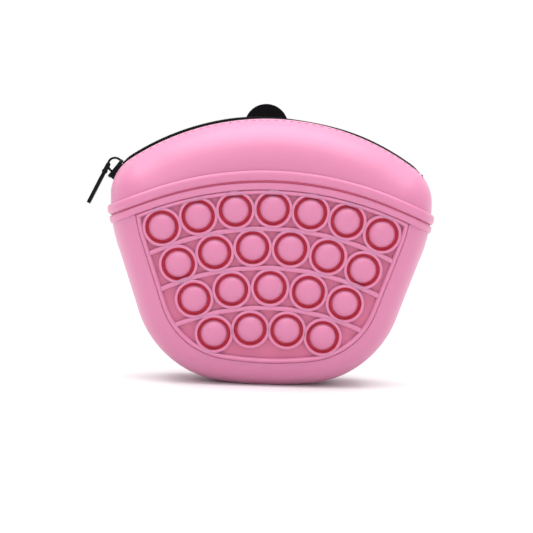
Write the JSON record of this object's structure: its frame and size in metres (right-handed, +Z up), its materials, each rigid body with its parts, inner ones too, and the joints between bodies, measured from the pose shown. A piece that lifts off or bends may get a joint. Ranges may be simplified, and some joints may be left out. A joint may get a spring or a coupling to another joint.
{
  "type": "treat pouch",
  "caption": "Moulded silicone zip pouch with a basket-shaped front of push-in bubbles, a curved zip along the crown and a sprung belt clip behind.",
  "frame": {"origin": "middle of the flat base facet the pouch stands on", "axes": "+Z up, the bubble panel faces -Y, +X to the right seen from the front"},
  "size_m": [0.1504, 0.0662, 0.1222],
  "materials": {
    "silicone": "soft matte pink silicone",
    "zip_tape": "black woven nylon tape",
    "zip_teeth": "black nylon coil",
    "zip_metal": "black painted die casting",
    "clip_plastic": "black moulded plastic",
    "steel": "plain steel"
  },
  "bodies": {
    "pouch": {"pouch_body": "silicone", "bubble_panel": "silicone", "zip_tape_front_ends": "zip_tape", "zip_tape_back": "zip_tape", "zip_teeth_front_ends": "zip_teeth", "zip_teeth_back": "zip_teeth", "zip_end_stops": "zip_metal", "clip_base": "clip_plastic", "clip_pin": "steel", "clip_spring": "steel", "clip_backing_plate": "clip_plastic", "clip_screws": "steel"},
    "front_lip": {"front_lip": "silicone", "zip_tape_front": "zip_tape", "zip_teeth_front": "zip_teeth"},
    "slider": {"slider_body": "zip_metal"},
    "pull_link": {"pull_link": "zip_metal"},
    "pull_tab": {"pull_tab": "zip_metal"},
    "clip_lever": {"clip_lever": "clip_plastic"},
    "bubble_1_1": {"bubble_r1_c1": "silicone"},
    "bubble_1_2": {"bubble_r1_c2": "silicone"},
    "bubble_1_3": {"bubble_r1_c3": "silicone"},
    "bubble_1_4": {"bubble_r1_c4": "silicone"},
    "bubble_1_5": {"bubble_r1_c5": "silicone"},
    "bubble_1_6": {"bubble_r1_c6": "silicone"},
    "bubble_1_7": {"bubble_r1_c7": "silicone"},
    "bubble_2_1": {"bubble_r2_c1": "silicone"},
    "bubble_2_2": {"bubble_r2_c2": "silicone"},
    "bubble_2_3": {"bubble_r2_c3": "silicone"},
    "bubble_2_4": {"bubble_r2_c4": "silicone"},
    "bubble_2_5": {"bubble_r2_c5": "silicone"},
    "bubble_2_6": {"bubble_r2_c6": "silicone"},
    "bubble_3_1": {"bubble_r3_c1": "silicone"},
    "bubble_3_2": {"bubble_r3_c2": "silicone"},
    "bubble_3_3": {"bubble_r3_c3": "silicone"},
    "bubble_3_4": {"bubble_r3_c4": "silicone"},
    "bubble_3_5": {"bubble_r3_c5": "silicone"},
    "bubble_4_1": {"bubble_r4_c1": "silicone"},
    "bubble_4_2": {"bubble_r4_c2": "silicone"},
    "bubble_4_3": {"bubble_r4_c3": "silicone"},
    "bubble_4_4": {"bubble_r4_c4": "silicone"}
  },
  "joints": [
    {"name": "mouth_open", "type": "slide", "parent": "pouch", "child": "front_lip", "axis": [0, -1, 0], "range_m": [0, 0.018], "stiffness_N_per_m": 30},
    {"name": "slider_travel", "type": "hinge", "parent": "pouch", "child": "slider", "pos_m": [0, 0, 0.0072], "axis": [0, 1, 0], "range_deg": [0, 76]},
    {"name": "pull_link_lift", "type": "hinge", "parent": "slider", "child": "pull_link", "pos_m": [-0.07127, 0, 0.09238], "axis": [0, 1, 0], "range_deg": [0, 76]},
    {"name": "pull_tab_swing", "type": "hinge", "parent": "pull_link", "child": "pull_tab", "pos_m": [-0.07265, 0, 0.0895], "axis": [0, 1, 0], "range_deg": [-20, 100]},
    {"name": "clip_open", "type": "hinge", "parent": "pouch", "child": "clip_lever", "pos_m": [-0.002, 0.03539, 0.09617], "axis": [1, 0, 0], "range_deg": [0, 18], "stiffness_Nm_per_rad": 0.5, "springref_deg": -17.19},
    {"name": "pop_r1_c1", "type": "slide", "parent": "pouch", "child": "bubble_1_1", "axis": [0, 0.9979, 0.0651], "range_m": [0, 0.0084]},
    {"name": "pop_r1_c2", "type": "slide", "parent": "pouch", "child": "bubble_1_2", "axis": [0, 0.9979, 0.0651], "range_m": [0, 0.0084]},
    {"name": "pop_r1_c3", "type": "slide", "parent": "pouch", "child": "bubble_1_3", "axis": [0, 0.9979, 0.0651], "range_m": [0, 0.0084]},
    {"name": "pop_r1_c4", "type": "slide", "parent": "pouch", "child": "bubble_1_4", "axis": [0, 0.9979, 0.0651], "range_m": [0, 0.0084]},
    {"name": "pop_r1_c5", "type": "slide", "parent": "pouch", "child": "bubble_1_5", "axis": [0, 0.9979, 0.0651], "range_m": [0, 0.0084]},
    {"name": "pop_r1_c6", "type": "slide", "parent": "pouch", "child": "bubble_1_6", "axis": [0, 0.9979, 0.0651], "range_m": [0, 0.0084]},
    {"name": "pop_r1_c7", "type": "slide", "parent": "pouch", "child": "bubble_1_7", "axis": [0, 0.9979, 0.0651], "range_m": [0, 0.0084]},
    {"name": "pop_r2_c1", "type": "slide", "parent": "pouch", "child": "bubble_2_1", "axis": [0, 0.9979, 0.0651], "range_m": [0, 0.0084]},
    {"name": "pop_r2_c2", "type": "slide", "parent": "pouch", "child": "bubble_2_2", "axis": [0, 0.9979, 0.0651], "range_m": [0, 0.0084]},
    {"name": "pop_r2_c3", "type": "slide", "parent": "pouch", "child": "bubble_2_3", "axis": [0, 0.9979, 0.0651], "range_m": [0, 0.0084]},
    {"name": "pop_r2_c4", "type": "slide", "parent": "pouch", "child": "bubble_2_4", "axis": [0, 0.9979, 0.0651], "range_m": [0, 0.0084]},
    {"name": "pop_r2_c5", "type": "slide", "parent": "pouch", "child": "bubble_2_5", "axis": [0, 0.9979, 0.0651], "range_m": [0, 0.0084]},
    {"name": "pop_r2_c6", "type": "slide", "parent": "pouch", "child": "bubble_2_6", "axis": [0, 0.9979, 0.0651], "range_m": [0, 0.0084]},
    {"name": "pop_r3_c1", "type": "slide", "parent": "pouch", "child": "bubble_3_1", "axis": [0, 0.9979, 0.0651], "range_m": [0, 0.0084]},
    {"name": "pop_r3_c2", "type": "slide", "parent": "pouch", "child": "bubble_3_2", "axis": [0, 0.9979, 0.0651], "range_m": [0, 0.0084]},
    {"name": "pop_r3_c3", "type": "slide", "parent": "pouch", "child": "bubble_3_3", "axis": [0, 0.9979, 0.0651], "range_m": [0, 0.0084]},
    {"name": "pop_r3_c4", "type": "slide", "parent": "pouch", "child": "bubble_3_4", "axis": [0, 0.9979, 0.0651], "range_m": [0, 0.0084]},
    {"name": "pop_r3_c5", "type": "slide", "parent": "pouch", "child": "bubble_3_5", "axis": [0, 0.9979, 0.0651], "range_m": [0, 0.0084]},
    {"name": "pop_r4_c1", "type": "slide", "parent": "pouch", "child": "bubble_4_1", "axis": [0, 0.9979, 0.0651], "range_m": [0, 0.0084]},
    {"name": "pop_r4_c2", "type": "slide", "parent": "pouch", "child": "bubble_4_2", "axis": [0, 0.9979, 0.0651], "range_m": [0, 0.0084]},
    {"name": "pop_r4_c3", "type": "slide", "parent": "pouch", "child": "bubble_4_3", "axis": [0, 0.9979, 0.0651], "range_m": [0, 0.0084]},
    {"name": "pop_r4_c4", "type": "slide", "parent": "pouch", "child": "bubble_4_4", "axis": [0, 0.9979, 0.0651], "range_m": [0, 0.0084]}
  ],
  "couplings": [
    {"joint": "pull_link_lift", "follows": "slider_travel", "ratio": 1}
  ]
}
